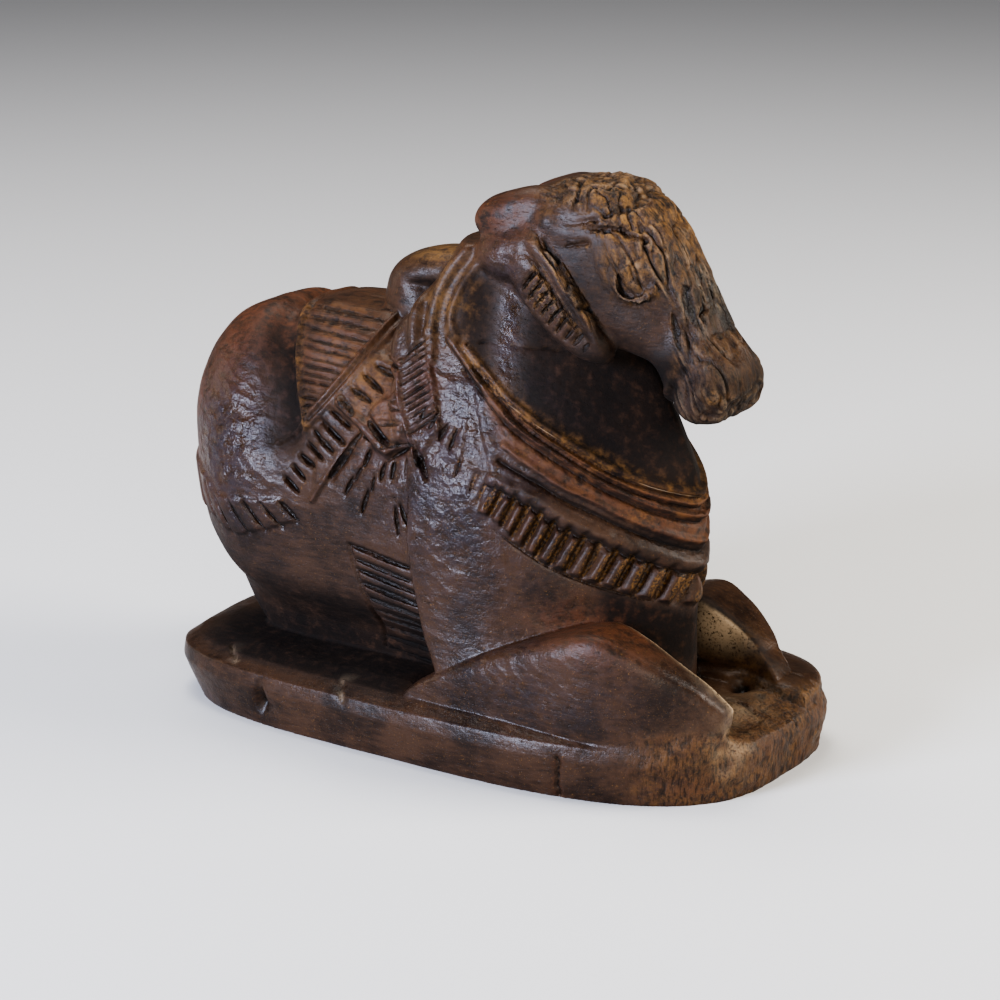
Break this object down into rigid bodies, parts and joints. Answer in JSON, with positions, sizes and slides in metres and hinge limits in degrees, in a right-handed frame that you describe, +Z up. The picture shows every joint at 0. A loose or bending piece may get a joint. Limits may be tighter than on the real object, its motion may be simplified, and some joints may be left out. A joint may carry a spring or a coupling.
{
  "type": "nandi bull figure",
  "caption": "Carved wooden temple bull lying on its own plinth, with a hump, drooping ears and a carved necklace, girth and saddle cloth.",
  "frame": {"origin": "under the middle of the whole figure, on the plinth's flat underside", "axes": "+X towards the bull's muzzle, +Y to its left, +Z up"},
  "size_m": [0.1906, 0.097, 0.1626],
  "materials": {
    "carved_wood": "dark hand-rubbed hardwood, worn and dirty in the cuts"
  },
  "bodies": {
    "root": {"nandi_bull": "carved_wood"}
  },
  "joints": []
}
